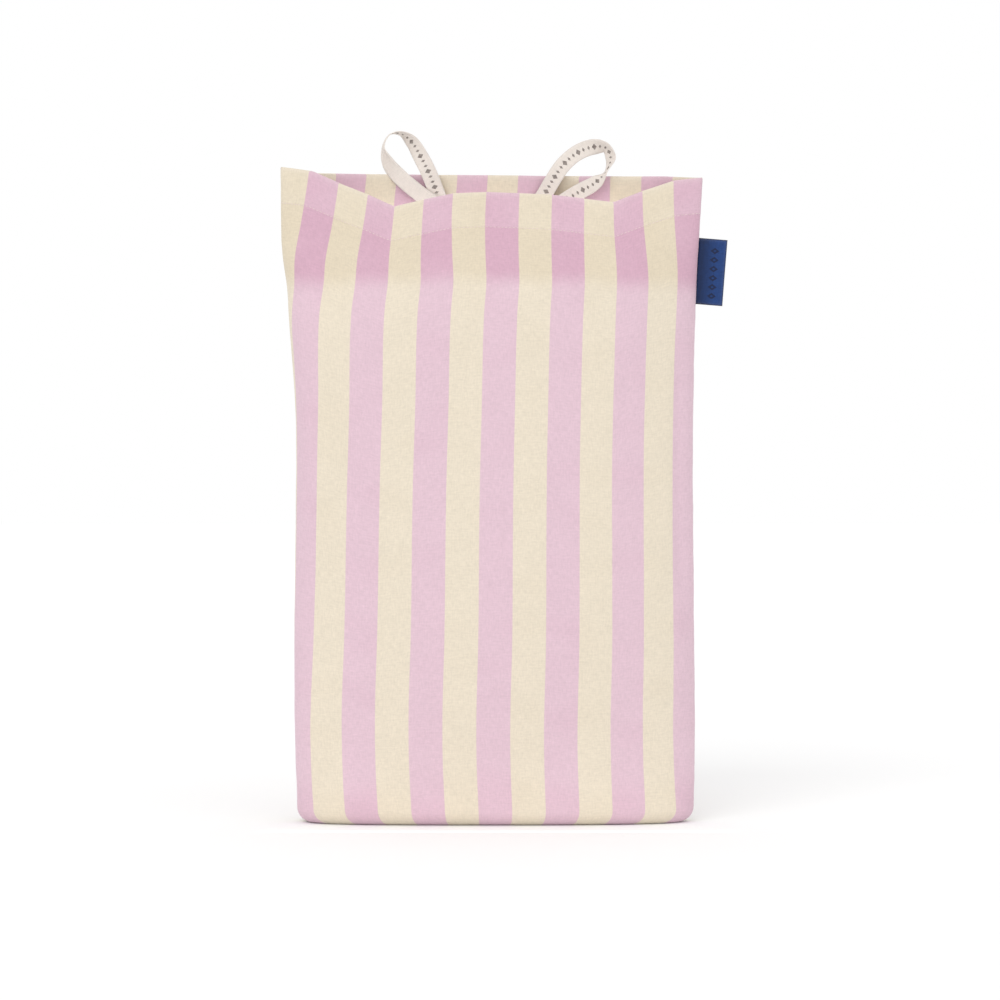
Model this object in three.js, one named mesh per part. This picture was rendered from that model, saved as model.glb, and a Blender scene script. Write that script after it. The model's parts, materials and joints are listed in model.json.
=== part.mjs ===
// A striped cotton laundry bag that stands on its base with its mouth a little open.
// Two cloth panels are sewn together at both sides and under the base. Each panel is turned in
// at the mouth as a hem. Two tape loops are caught in the back hem, and a folded label is caught
// in the right side seam.
// Millimetres, +Z up, +X to the right and -Y to the front. The origin is the middle of the base.
import * as THREE from "three";

// ---- Driving dimensions ----
const STRIPES = 14; // across one panel
const CLOTH = 1.0; // one layer of cloth
const SEAM_TRIM = 1.5; // each panel edge stops this far short of the seam line
const HEM = 35; // depth of the turned-in hem
const HEM_LAYERS = 1.7; // between the middles of the hem's two layers
const HEM_END = 7; // the hem's inner layer stops this far short of a side seam
const PANEL_GAP = 0.5; // between a panel's top and its hem
const BASE_RADIUS = 14; // rounding between the walls and the base
const BASE_REACH = 166; // half the length of the seam under the base

const SEAM_WIDTH = 9.5; // seam allowance inside the bag
const SEAM_THICK = 1.8; // its two layers
const SEAM_STAND_OFF = 2.6; // from the panels to the allowance
const THREAD = 0.8; // width of a line of thread
const THREAD_THICK = 0.4;
const STITCH_STAND_OFF = 0.5; // from the hem to its line of stitches

const TAPE_WIDTH = 15;
const TAPE_THICK = 0.8;
const LOOP_HINGE_Z = 611; // just above the back hem, where a loop folds over it
const LOOP_CUT = 0.8; // half the gap between a loop and its sewn tails
const TACK_Z = 556; // height of the stitches that hold the tails

const LABEL_WIDTH = 23;
const LABEL_HEIGHT = 62;
const LABEL_CLOTH = 0.6;
const LABEL_LAYERS = 1.1;
const LABEL_TILT = 0.08; // the right seam leans out this much per millimetre of height
const LABEL_FOOT = new THREE.Vector3(188.4, 0, 480.5); // lowest point of the label's seam edge

// The bag's outline at a few heights: its left and right edges, how far it swells to the front and
// to the back, how square it is towards the left and the right (2 is an ellipse), and how far the
// left seam has crept round behind the left edge.
const OUTLINES = [
  { z: 0, left: -184, right: 183, front: 43, back: 44, squareLeft: 3.2, squareRight: 2.6, creep: 26 },
  { z: 60, left: -185, right: 184.5, front: 49, back: 49, squareLeft: 3.3, squareRight: 1.95, creep: 24 },
  { z: 170, left: -186, right: 184, front: 56, back: 53, squareLeft: 2.4, squareRight: 1.85, creep: 24 },
  { z: 280, left: -185.5, right: 183, front: 57, back: 54, squareLeft: 2.7, squareRight: 1.8, creep: 18 },
  { z: 380, left: -185, right: 183, front: 57, back: 53, squareLeft: 3.6, squareRight: 1.8, creep: 8 },
  { z: 466, left: -190.5, right: 185, front: 56, back: 50, squareLeft: 3.5, squareRight: 1.87, creep: 2 },
  { z: 496, left: -193.5, right: 186, front: 53, back: 47, squareLeft: 2.9, squareRight: 1.95, creep: 1 },
  { z: 521, left: -197, right: 187, front: 43, back: 42, squareLeft: 3.1, squareRight: 2.15, creep: 0 },
  { z: 549, left: -199, right: 189, front: 29, back: 35, squareLeft: 3.2, squareRight: 2.3, creep: 0 },
  { z: 608, left: -200, right: 192.5, front: 14, back: 26, squareLeft: 2.1, squareRight: 2.1, creep: 0 },
];

// Height of the mouth's edge along each panel, from the left seam (0) to the right seam (1).
const FRONT_EDGE = [
  [0, 608], [0.08, 603], [0.286, 570], [0.43, 582], [0.5, 583.5], [0.64, 581], [0.786, 574],
  [0.92, 594], [1, 598],
];
const BACK_EDGE = [[0, 608], [0.08, 604], [0.5, 603.5], [0.9, 601], [1, 598]];
const LEAN = 0.3; // the front hem leans back this much where its edge dips
const LEAN_FROM = 430; // the lean starts at this height

// Rows of each mesh.
const COLUMNS = 2 * STRIPES;
const ROUNDING_ROWS = [0, 0.12, 0.4, 1]; // heights in the rounding, as shares of its radius
const WALL_ROWS = [0.1, 0.2, 0.32, 0.44, 0.56, 0.66, 0.74, 0.8, 0.85, 0.9, 0.95, 1]; // shares of the wall
const BASE_ROWS = 3;
const OUTLINE_STEPS = 240;

// ---- Small helpers ----
const lerp = THREE.MathUtils.lerp;
const smooth = THREE.MathUtils.smoothstep;

// Reads a list of [position, value] pairs, straight from each value to the next.
function along(pairs, at) {
  const i = Math.max(1, pairs.findIndex(([position]) => position >= at));
  const [from, a] = pairs[i - 1];
  const [to, b] = pairs[i];
  return lerp(a, b, (at - from) / (to - from));
}

// One dimension of OUTLINES at height z, on a smooth curve through the listed values.
const heights = OUTLINES.map((row) => row.z);
const curves = {};
for (const name of Object.keys(OUTLINES[0])) {
  curves[name] = new THREE.CubicInterpolant(heights, OUTLINES.map((row) => row[name]), 1);
}
const dimension = (name, z) => curves[name].evaluate(z)[0];

// Turns a grid of points into one closed sheet of the given thickness. grid[row][column] are the
// points of its middle surface.
function sheet(grid, thickness) {
  const rows = grid.length;
  const columns = grid[0].length;
  const middle = grid.flat();
  const at = (r, c) => r * columns + c;
  const quads = [];
  for (let r = 0; r + 1 < rows; r++) {
    for (let c = 0; c + 1 < columns; c++) {
      quads.push([at(r, c), at(r, c + 1), at(r + 1, c + 1), at(r + 1, c)]);
    }
  }
  const normals = middle.map(() => new THREE.Vector3());
  for (const [a, b, c, d] of quads) {
    const diagonal = middle[c].clone().sub(middle[a]);
    const normal = diagonal.cross(middle[d].clone().sub(middle[b]));
    for (const i of [a, b, c, d]) normals[i].add(normal);
  }
  const points = [];
  for (const side of [0.5, -0.5]) {
    middle.forEach((p, i) => {
      points.push(p.clone().addScaledVector(normals[i].clone().normalize(), side * thickness));
    });
  }
  const under = middle.length;
  const faces = [];
  const addQuad = (a, b, c, d) => faces.push([a, b, c], [a, c, d]);
  for (const [a, b, c, d] of quads) {
    addQuad(a, b, c, d);
    addQuad(a + under, d + under, c + under, b + under);
  }
  const addRim = (a, b) => addQuad(b, a, a + under, b + under);
  for (let c = 0; c + 1 < columns; c++) {
    addRim(at(0, c), at(0, c + 1));
    addRim(at(rows - 1, c + 1), at(rows - 1, c));
  }
  for (let r = 0; r + 1 < rows; r++) {
    addRim(at(r + 1, 0), at(r, 0));
    addRim(at(r, columns - 1), at(r + 1, columns - 1));
  }
  return closedGeometry(points, faces);
}

function closedGeometry(points, faces) {
  let volume = 0;
  for (const [a, b, c] of faces) {
    volume += points[a].dot(points[b].clone().cross(points[c]));
  }
  const index = faces.flatMap(([a, b, c]) => (volume > 0 ? [a, b, c] : [a, c, b]));
  const geometry = new THREE.BufferGeometry().setFromPoints(points);
  geometry.setIndex(index);
  geometry.computeVertexNormals();
  return geometry;
}

// A flat strip between two rows of points.
const strip = (rowA, rowB, thickness) => sheet([rowA, rowB], thickness);

// ---- The shape of the cloth ----
// The closed outline at height z, from the left edge round the front and back again, with the
// length walked so far at each point.
const outlineCache = new Map();
function outline(z) {
  const key = z.toFixed(3);
  if (outlineCache.has(key)) return outlineCache.get(key);
  const drop = Math.max(0, BASE_RADIUS + CLOTH / 2 - z);
  const inset = BASE_RADIUS - Math.sqrt(Math.max(0, BASE_RADIUS ** 2 - drop ** 2));
  const left = dimension("left", z) + inset;
  const right = dimension("right", z) - inset;
  const power = { left: 2 / dimension("squareLeft", z), right: 2 / dimension("squareRight", z) };
  const points = [];
  const walked = [];
  for (let i = 0; i <= OUTLINE_STEPS; i++) {
    const angle = (2 * Math.PI * i) / OUTLINE_STEPS;
    const depth = dimension(i <= OUTLINE_STEPS / 2 ? "front" : "back", z) - inset;
    const bend = power[Math.cos(angle) > 0 ? "left" : "right"];
    const round = (value) => Math.sign(value) * Math.abs(value) ** bend;
    const x = (left + right) / 2 - ((right - left) / 2) * round(Math.cos(angle));
    points.push(new THREE.Vector3(x, -depth * round(Math.sin(angle)), z));
    walked.push(i ? walked[i - 1] + points[i].distanceTo(points[i - 1]) : 0);
  }
  const found = { points, walked, half: walked[OUTLINE_STEPS / 2], whole: walked[OUTLINE_STEPS] };
  outlineCache.set(key, found);
  return found;
}

function walkOutline(shape, distance) {
  const s = ((distance % shape.whole) + shape.whole) % shape.whole;
  let i = 1;
  while (shape.walked[i] < s) i++;
  const share = (s - shape.walked[i - 1]) / (shape.walked[i] - shape.walked[i - 1]);
  return shape.points[i - 1].clone().lerp(shape.points[i], share);
}

const edgeHeight = (side, u) => along(side === "front" ? FRONT_EDGE : BACK_EDGE, u);
const hemLine = (side, u) => edgeHeight(side, u) - HEM;

// A point of a panel's middle surface: u runs from the left seam to the right seam, and trim is
// how far it stops short of each.
function cloth(side, u, z, trim = SEAM_TRIM) {
  const shape = outline(z);
  const creep = dimension("creep", z);
  const length = side === "front" ? shape.half + creep : shape.whole - shape.half - creep;
  const s = lerp(trim, length - trim, u);
  const point = walkOutline(shape, side === "front" ? s - creep : shape.whole - creep - s);
  if (side === "front") {
    const dip = lerp(edgeHeight("front", 0), edgeHeight("front", 1), u) - edgeHeight("front", u);
    point.y += LEAN * dip * smooth(z, LEAN_FROM, hemLine("front", u) + HEM);
  }
  return point;
}

// The direction into the bag, level, from a point of the cloth.
function inward(side, u, z, trim = SEAM_TRIM) {
  const step = 0.01;
  const a = cloth(side, Math.max(0, u - step), z, trim);
  const b = cloth(side, Math.min(1, u + step), z, trim);
  const level = b.sub(a).setZ(0).normalize();
  const turn = side === "front" ? 1 : -1;
  return new THREE.Vector3(-level.y * turn, level.x * turn, 0);
}

const shares = (count) => Array.from({ length: count + 1 }, (_, i) => i / count);
const across = shares(COLUMNS);

// The line of the seam under the base, from the foot of the left seam to the foot of the right.
function baseSeam(u) {
  const x = lerp(-BASE_REACH, BASE_REACH, u);
  const left = cloth("front", 0, CLOTH / 2, 0);
  const right = cloth("front", 1, CLOTH / 2, 0);
  return new THREE.Vector3(x, lerp(left.y, right.y, u), CLOTH / 2);
}

// ---- The pieces ----
// A panel runs from the seam under the base, round the base's edge and up to its hem.
function panel(side) {
  const outwards = side === "front" ? -1 : 1;
  const foot = CLOTH / 2;
  const grid = [];
  for (let r = 0; r < BASE_ROWS; r++) {
    grid.push(across.map((u) => {
      const seam = baseSeam(u).add(new THREE.Vector3(0, outwards * SEAM_TRIM, 0));
      return seam.lerp(cloth(side, u, foot), r / BASE_ROWS);
    }));
  }
  for (const share of ROUNDING_ROWS) {
    grid.push(across.map((u) => cloth(side, u, foot + share * BASE_RADIUS)));
  }
  for (const share of WALL_ROWS) {
    grid.push(across.map((u) => {
      const top = hemLine(side, u) - PANEL_GAP / 2;
      return cloth(side, u, lerp(foot + BASE_RADIUS, top, share));
    }));
  }
  return sheet(grid, CLOTH);
}

// A hem is the cloth turned over the mouth's edge and down inside.
function hem(side) {
  const layer = (heightAt, depth, trim) => across.map((u) => {
    const z = heightAt(u);
    return cloth(side, u, z, trim).addScaledVector(inward(side, u, z, trim), depth);
  });
  const bottom = (u) => hemLine(side, u) + PANEL_GAP / 2;
  const middle = (u) => hemLine(side, u) + HEM / 2;
  const shoulder = (u) => edgeHeight(side, u) - HEM_LAYERS / 2;
  const top = (u) => edgeHeight(side, u);
  return sheet([
    layer(bottom, 0, SEAM_TRIM),
    layer(middle, 0, SEAM_TRIM),
    layer(shoulder, 0, SEAM_TRIM),
    layer(top, HEM_LAYERS / 2, (SEAM_TRIM + HEM_END) / 2),
    layer(shoulder, HEM_LAYERS, HEM_END),
    layer(middle, HEM_LAYERS, HEM_END),
    layer(bottom, HEM_LAYERS, HEM_END),
  ], CLOTH);
}

// The line of stitches that holds a hem, on its outside near the lower edge.
function hemStitching(side) {
  const outside = -(CLOTH + THREAD_THICK) / 2 - STITCH_STAND_OFF;
  const line = (height) => across.map((u) => {
    const z = hemLine(side, u) + height;
    return cloth(side, u, z).addScaledVector(inward(side, u, z), outside);
  });
  return strip(line(2), line(2 + THREAD), THREAD_THICK);
}

// Rows of points that stand into the bag from a side seam. u is 0 at the left seam, 1 at the right.
function seamRow(u, depth) {
  const low = BASE_RADIUS + 6;
  const high = hemLine("front", u) - 8;
  return shares(16).map((share) => {
    const z = lerp(low, high, share);
    const between = inward("front", u, z, 0).add(inward("back", u, z, 0)).normalize();
    return cloth("front", u, z, 0).addScaledVector(between, depth);
  });
}

const seamInnerEdge = SEAM_STAND_OFF + SEAM_WIDTH;
const sideSeam = (u) => strip(seamRow(u, SEAM_STAND_OFF), seamRow(u, seamInnerEdge), SEAM_THICK);
const overlock = (u) => strip(
  seamRow(u, seamInnerEdge + 0.3),
  seamRow(u, seamInnerEdge + 0.3 + THREAD),
  SEAM_THICK,
);

// The allowance of the seam under the base lies flat towards the back.
function baseRow(offset) {
  const lying = CLOTH + 0.6 + SEAM_THICK / 2;
  return shares(8).map((share) => {
    const seam = baseSeam(lerp(0.15, 0.88, share));
    return new THREE.Vector3(seam.x, seam.y + offset, lying);
  });
}

// The short seams across the ends of the base, which square its corners.
function cornerSeam(direction) {
  const outer = BASE_REACH - 8;
  const lying = CLOTH + 0.6 + SEAM_THICK / 2;
  const row = (x) => [-14, -5, 5, 14].map((y) => new THREE.Vector3(direction * x, y, lying));
  return strip(row(outer), row(outer - SEAM_WIDTH), SEAM_THICK);
}

// ---- The tape loops ----
// Each loop is one tape. Its route runs from the sewn end up the first strand, over the top and
// down the second strand. Each entry is a point of the tape's middle and the direction across it.
const LEFT_LOOP = [
  { at: [-40, 26.4, 549], across: [1, 0, 0] },
  { at: [-54, 22.6, 572], across: [0.75, 0, 0.66] },
  { at: [-72, 20.6, 586], across: [0.66, 0, 0.75] },
  { at: [-89, 18.8, 600], across: [0.7, -0.15, 0.7] },
  { at: [-100.5, 18, 613], across: [0.65, -0.6, 0.45] },
  { at: [-106, 18, 628], across: [0.2, -0.98, 0] },
  { at: [-100, 18, 640.5], across: [0.1, -0.98, -0.1] },
  { at: [-90, 18, 642], across: [0.1, -0.98, 0.1] },
  { at: [-79, 18.4, 634], across: [0.6, -0.7, 0.5] },
  { at: [-70.5, 18, 620], across: [0.85, -0.3, 0.4] },
  { at: [-62.5, 18.6, 604], across: [0.9, 0, 0.4] },
  { at: [-56, 23.4, 588], across: [0.93, 0, 0.36] },
  { at: [-50, 26.2, 572], across: [0.97, 0, 0.2] },
  { at: [-42, 29.4, 549], across: [1, 0, 0] },
];
const RIGHT_LOOP = [
  { at: [20, 29.4, 549], across: [-1, 0, 0] },
  { at: [33, 26.4, 568], across: [-0.82, 0, 0.57] },
  { at: [44, 23.4, 583], across: [-0.84, 0, 0.54] },
  { at: [53, 18.8, 598], across: [-0.82, 0, 0.57] },
  { at: [63, 18, 612.5], across: [-0.75, 0, 0.66] },
  { at: [76, 18, 623.5], across: [-0.6, 0, 0.8] },
  { at: [91, 16.4, 629], across: [-0.42, -0.35, 0.83] },
  { at: [103, 16, 628], across: [0.1, -0.85, 0.5] },
  { at: [107.5, 17.5, 618.5], across: [0.55, -0.8, 0.2] },
  { at: [103.5, 17, 606.5], across: [0.25, -0.95, 0.1] },
  { at: [93, 16.6, 595.5], across: [0.6, -0.4, -0.6] },
  { at: [76, 18.6, 586], across: [0.5, 0, -0.87] },
  { at: [54, 21.4, 572], across: [0.6, 0, -0.8] },
  { at: [24, 26.4, 549], across: [1, 0, -0.1] },
];
const LOOP_STEPS = 88;

// A loop in three pieces, all of one tape: the free part above the hinge line, and the two tails
// that are sewn to the back hem.
function loopPieces(route) {
  const vectors = (key) => route.map((entry) => new THREE.Vector3(...entry[key]));
  const centre = new THREE.CatmullRomCurve3(vectors("at"));
  const width = new THREE.CatmullRomCurve3(vectors("across"));
  const rows = shares(LOOP_STEPS).map((t) => {
    const point = centre.getPoint(t);
    const tangent = centre.getTangent(t);
    const half = width.getPoint(t);
    half.addScaledVector(tangent, -half.dot(tangent)).setLength(TAPE_WIDTH / 2);
    return [point.clone().sub(half), point, point.clone().add(half)];
  });
  // A tape that stands edge-on needs room below the hinge line to fold, as far as it reaches.
  const above = rows.map(([, middle]) => middle.z - LOOP_HINGE_Z);
  const reach = rows.map(([edge, middle]) => Math.abs(middle.y - edge.y));
  const isFree = (height) => height > LOOP_CUT;
  const isNotTail = (height, i) => height + reach[i] > -LOOP_CUT;
  const firstFree = above.findIndex(isFree);
  const lastFree = above.findLastIndex(isFree);
  const firstEnd = above.findIndex(isNotTail);
  const secondStart = above.findLastIndex(isNotTail) + 1;
  return {
    free: sheet(rows.slice(firstFree, lastFree + 1), TAPE_THICK),
    firstTail: sheet(rows.slice(0, firstEnd), TAPE_THICK),
    secondTail: sheet(rows.slice(secondStart), TAPE_THICK),
  };
}

// The stitches across the tails.
function tack(route) {
  const foot = new THREE.Vector3(...route[0].at);
  const x = foot.x + 0.35 * (route[1].at[0] - foot.x);
  const y = Math.min(route[0].at[1], route.at(-1).at[1]) - 3.2;
  const row = (z) => [-5, 5].map((offset) => new THREE.Vector3(x + offset, y, z));
  return strip(row(TACK_Z - 1.2), row(TACK_Z + 1.2), THREAD);
}

// ---- The side label ----
// A short woven tape folded in half, with the fold outside and both ends in the seam.
function label() {
  const out = new THREE.Vector3(1, 0, -LABEL_TILT).normalize();
  const up = new THREE.Vector3(LABEL_TILT, 0, 1).normalize();
  const half = LABEL_LAYERS / 2;
  const path = [
    [0, -half],
    [LABEL_WIDTH / 2, -half],
    [LABEL_WIDTH - half, -half],
    [LABEL_WIDTH, 0],
    [LABEL_WIDTH - half, half],
    [LABEL_WIDTH / 2, half],
    [0, half],
  ];
  const grid = path.map(([reach, y]) => shares(4).map((share) => {
    return LABEL_FOOT.clone()
      .addScaledVector(out, reach)
      .addScaledVector(up, share * LABEL_HEIGHT)
      .add(new THREE.Vector3(0, y, 0));
  }));
  return sheet(grid, LABEL_CLOTH);
}

// ---- Materials and assembly ----
const finish = (color, roughness) => new THREE.MeshStandardMaterial({
  color,
  roughness,
  metalness: 0,
});
const cotton = () => finish("#e7cfcf", 0.9);
const seamCotton = () => finish("#ead9c6", 0.92);
const thread = () => finish("#efe3dc", 0.8);
const tape = () => finish("#e6dcd2", 0.85);
const navy = () => finish("#27396a", 0.75);

const bag = new THREE.Group();
function add(name, geometry, material) {
  const mesh = new THREE.Mesh(geometry, material);
  mesh.name = name;
  bag.add(mesh);
}

for (const side of ["front", "back"]) {
  add(`${side}_panel`, panel(side), cotton());
  add(`${side}_hem`, hem(side), cotton());
  add(`${side}_hem_stitching`, hemStitching(side), thread());
}
for (const [name, u, direction] of [["left", 0, -1], ["right", 1, 1]]) {
  add(`${name}_side_seam`, sideSeam(u), seamCotton());
  add(`${name}_seam_overlock`, overlock(u), thread());
  add(`${name}_corner_seam`, cornerSeam(direction), seamCotton());
}
add("base_seam", strip(baseRow(1), baseRow(1 + SEAM_WIDTH), SEAM_THICK), seamCotton());
const baseThread = [1.3 + SEAM_WIDTH, 1.3 + SEAM_WIDTH + THREAD];
add("base_seam_overlock", strip(...baseThread.map(baseRow), SEAM_THICK), thread());
for (const [name, route] of [["left", LEFT_LOOP], ["right", RIGHT_LOOP]]) {
  const pieces = loopPieces(route);
  add(`${name}_loop`, pieces.free, tape());
  add(`${name}_loop_first_tail`, pieces.firstTail, tape());
  add(`${name}_loop_second_tail`, pieces.secondTail, tape());
  add(`${name}_loop_tack`, tack(route), thread());
}
add("side_label", label(), navy());

export default bag;
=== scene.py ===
# %% [markdown]
# # A striped cotton laundry bag
# The bag is two panels of striped canvas, sewn together at both sides and under the base. The cloth
# is turned in at the mouth, two tape loops are caught in the back hem, and a folded label is caught
# in the right side seam. This lesson cuts each panel flat, as a sewing room does, and then bends
# it onto the bag, so that the stripes and the weave follow the cloth for free.
# First comes the frame: the plain solids that fix every place and size. Nothing in it is moved.

# %% Load the frame
import json
import math

import bmesh
import bpy
import numpy as np
from mathutils import Matrix, Vector, noise


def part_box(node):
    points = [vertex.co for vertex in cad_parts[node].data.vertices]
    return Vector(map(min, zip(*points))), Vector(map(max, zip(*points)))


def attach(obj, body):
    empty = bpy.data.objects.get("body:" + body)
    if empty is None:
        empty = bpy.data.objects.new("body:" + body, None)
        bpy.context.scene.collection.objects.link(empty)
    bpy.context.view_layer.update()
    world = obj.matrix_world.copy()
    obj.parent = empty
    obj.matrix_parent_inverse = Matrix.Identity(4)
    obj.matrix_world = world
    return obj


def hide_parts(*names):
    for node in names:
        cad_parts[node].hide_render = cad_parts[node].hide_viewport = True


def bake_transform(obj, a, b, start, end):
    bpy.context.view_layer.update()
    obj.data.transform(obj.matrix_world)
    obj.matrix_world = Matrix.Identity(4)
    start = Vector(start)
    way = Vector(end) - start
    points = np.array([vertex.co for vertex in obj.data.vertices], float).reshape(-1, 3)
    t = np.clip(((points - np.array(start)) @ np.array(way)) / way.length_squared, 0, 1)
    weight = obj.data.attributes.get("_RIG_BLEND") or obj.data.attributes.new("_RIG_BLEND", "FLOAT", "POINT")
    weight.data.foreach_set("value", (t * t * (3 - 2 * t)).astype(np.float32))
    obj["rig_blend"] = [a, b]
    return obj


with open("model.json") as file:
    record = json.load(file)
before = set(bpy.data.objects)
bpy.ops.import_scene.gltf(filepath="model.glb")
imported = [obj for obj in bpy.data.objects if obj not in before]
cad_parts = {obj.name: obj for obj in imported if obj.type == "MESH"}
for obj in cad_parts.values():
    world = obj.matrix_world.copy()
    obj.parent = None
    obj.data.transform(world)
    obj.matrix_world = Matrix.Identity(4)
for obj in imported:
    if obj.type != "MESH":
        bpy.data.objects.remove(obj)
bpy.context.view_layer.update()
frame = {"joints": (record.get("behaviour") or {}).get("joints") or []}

MM = 0.001

# %% [markdown]
# ## Node helpers
# Every material here is a small network of nodes. A few helpers keep those networks readable: one
# adds a node and fills its sockets, another does one step of arithmetic. A socket given as a
# number is typed in, and a socket given as another node's output is wired up.

# %% Node helpers
def add_node(tree, kind, values=(), **settings):
    """Adds a node; values are (socket name or number, value or output) pairs."""
    made = tree.nodes.new("ShaderNode" + kind)
    for name, value in settings.items():
        setattr(made, name, value)
    for socket, value in values:
        if isinstance(value, bpy.types.NodeSocket):
            tree.links.new(value, made.inputs[socket])
        else:
            made.inputs[socket].default_value = value
    return made


def calc(tree, operation, *values):
    """One step of arithmetic, and its result."""
    return add_node(tree, "Math", list(enumerate(values)), operation=operation).outputs[0]


def scaled(tree, colour, factor):
    """A colour times a number."""
    return add_node(tree, "VectorMath", [(0, colour), ("Scale", factor)], operation="SCALE").outputs[0]


def mix_colours(tree, share, first, second):
    """Share of the second colour over the first."""
    return add_node(tree, "Mix", [(0, share), (6, first), (7, second)], data_type="RGBA").outputs[2]


def new_group(name, inputs, outputs):
    """A node group with named sockets: inputs are (name, type, default), outputs (name, type)."""
    group = bpy.data.node_groups.new(name, "ShaderNodeTree")
    for label, kind, default in inputs:
        socket = group.interface.new_socket(label, in_out="INPUT", socket_type="NodeSocket" + kind)
        if default is not None:
            socket.default_value = default
    for label, kind in outputs:
        group.interface.new_socket(label, in_out="OUTPUT", socket_type="NodeSocket" + kind)
    return group, group.nodes.new("NodeGroupInput"), group.nodes.new("NodeGroupOutput")


def use_group(tree, group, values):
    """Places a node group in a material."""
    return add_node(tree, "Group", values, node_tree=group)


def new_material(name, constants):
    """A new material, its tree and its shader, with the constants on the shader's own sockets."""
    material = bpy.data.materials.new(name)
    material.use_nodes = True
    shader = material.node_tree.nodes["Principled BSDF"]
    for socket, value in constants.items():
        shader.inputs[socket].default_value = value
    return material, material.node_tree, shader


print("node helpers ready")

# %% [markdown]
# ## Camera and light
# The bag is seen straight on, from far enough away that its sides stay nearly parallel. A long
# lens does that. The light is two very soft suns and a white sky: suns light the whole floor
# evenly, so the floor and the sky run into each other without a horizon. Two small lamps add what
# that leaves out: light that comes through thin cotton at the neck, and light that a white floor
# throws back at the foot.

# %% Camera
CAMERA_PLACE = (0.0037, -2.5, 0.2985)
LENS_MM = 96.8
SENSOR_MM = 36


def link(made):
    """Puts an object in the scene."""
    bpy.context.scene.collection.objects.link(made)
    return made


camera_data = bpy.data.cameras.new("camera")
camera_data.lens = LENS_MM
camera_data.sensor_width = SENSOR_MM
camera = link(bpy.data.objects.new("camera", camera_data))
camera.location = CAMERA_PLACE
camera.rotation_euler = (math.pi / 2, 0, 0)
bpy.context.scene.camera = camera
bpy.context.scene.view_settings.view_transform = "Standard"
print("camera stands", -CAMERA_PLACE[1], "m in front of the bag")

# %% Floor, sky and lamps
FLOOR_SIZE = 60
FLOOR_WHITE = (0.93, 0.93, 0.93, 1)
SKY_LIGHT = 0.96


def lamp(name, kind, direction, power, place=(0, 0, 0), **settings):
    """A lamp that shines along direction and isn't seen itself."""
    data = bpy.data.lights.new(name, kind)
    data.energy = power
    for setting, value in settings.items():
        setattr(data, setting, value)
    light = link(bpy.data.objects.new(name, data))
    light.location = place
    light.rotation_mode = "QUATERNION"
    light.rotation_quaternion = Vector(direction).to_track_quat("-Z", "Y")
    light.visible_camera = False


def sky(strength):
    """A white sky: full white to the camera, and strength as light on the bag."""
    world = bpy.data.worlds.new("sky")
    bpy.context.scene.world = world
    world.use_nodes = True
    tree = world.node_tree
    background = tree.nodes["Background"]
    seen = add_node(tree, "LightPath").outputs["Is Camera Ray"]
    mix = add_node(tree, "Mix", [(0, seen), (2, strength), (3, 1)])
    tree.links.new(mix.outputs[0], background.inputs["Strength"])
    background.inputs["Color"].default_value = (1, 1, 1, 1)


def object_from(name, bm, materials):
    """Turns a finished bmesh into a smooth object at the origin."""
    mesh = bpy.data.meshes.new(name)
    bm.to_mesh(mesh)
    bm.free()
    for material in materials:
        mesh.materials.append(material)
    mesh.shade_smooth()
    return link(bpy.data.objects.new(name, mesh))


lamp("key_sun", "SUN", (0.45, 1.0, -0.75), 0.75, angle=math.radians(40))
lamp("fill_sun", "SUN", (-0.7, 0.8, -0.5), 0.15, angle=math.radians(60))
sky(SKY_LIGHT)
for name, direction, power, place, size in (
    ("neck_glow", (0, 1, 0.5), 0.07, (0.0, 0.002, 0.548), (0.34, 0.012)),
    ("foot_glow", (0, 1, 0.1), 0.010, (0.0, -0.085, 0.003), (0.42, 0.004)),
):
    lamp(name, "AREA", direction, power, place, shape="RECTANGLE", size=size[0], size_y=size[1])
bm = bmesh.new()
bmesh.ops.create_grid(bm, x_segments=1, y_segments=1, size=FLOOR_SIZE / 2)
floor_white, _, _ = new_material(
    "floor_white", {"Base Color": FLOOR_WHITE, "Roughness": 0.9, "Specular IOR Level": 0}
)
floor = object_from("floor", bm, [floor_white])
print("floor", FLOOR_SIZE, "m across")

# %% [markdown]
# ## The weave
# Plain weave is warp threads running up the cloth and weft threads running across it, each passing
# over one and under the next. Drawn in threads instead of metres, the warp is a row of half sine
# waves, and so is the weft, and the product of the two waves says which lies on top. No two threads
# are spun alike, so long thin noise along each thread gives the heathered look of cotton.
# The group reads the cloth's flat coordinates in metres, so the weave turns with the cloth.

# %% The weave group
STREAKS = ((1 / 0.0014, 1 / 0.006, 1), (1 / 0.006, 1 / 0.0016, 1))  # along the warp, along the weft


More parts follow.
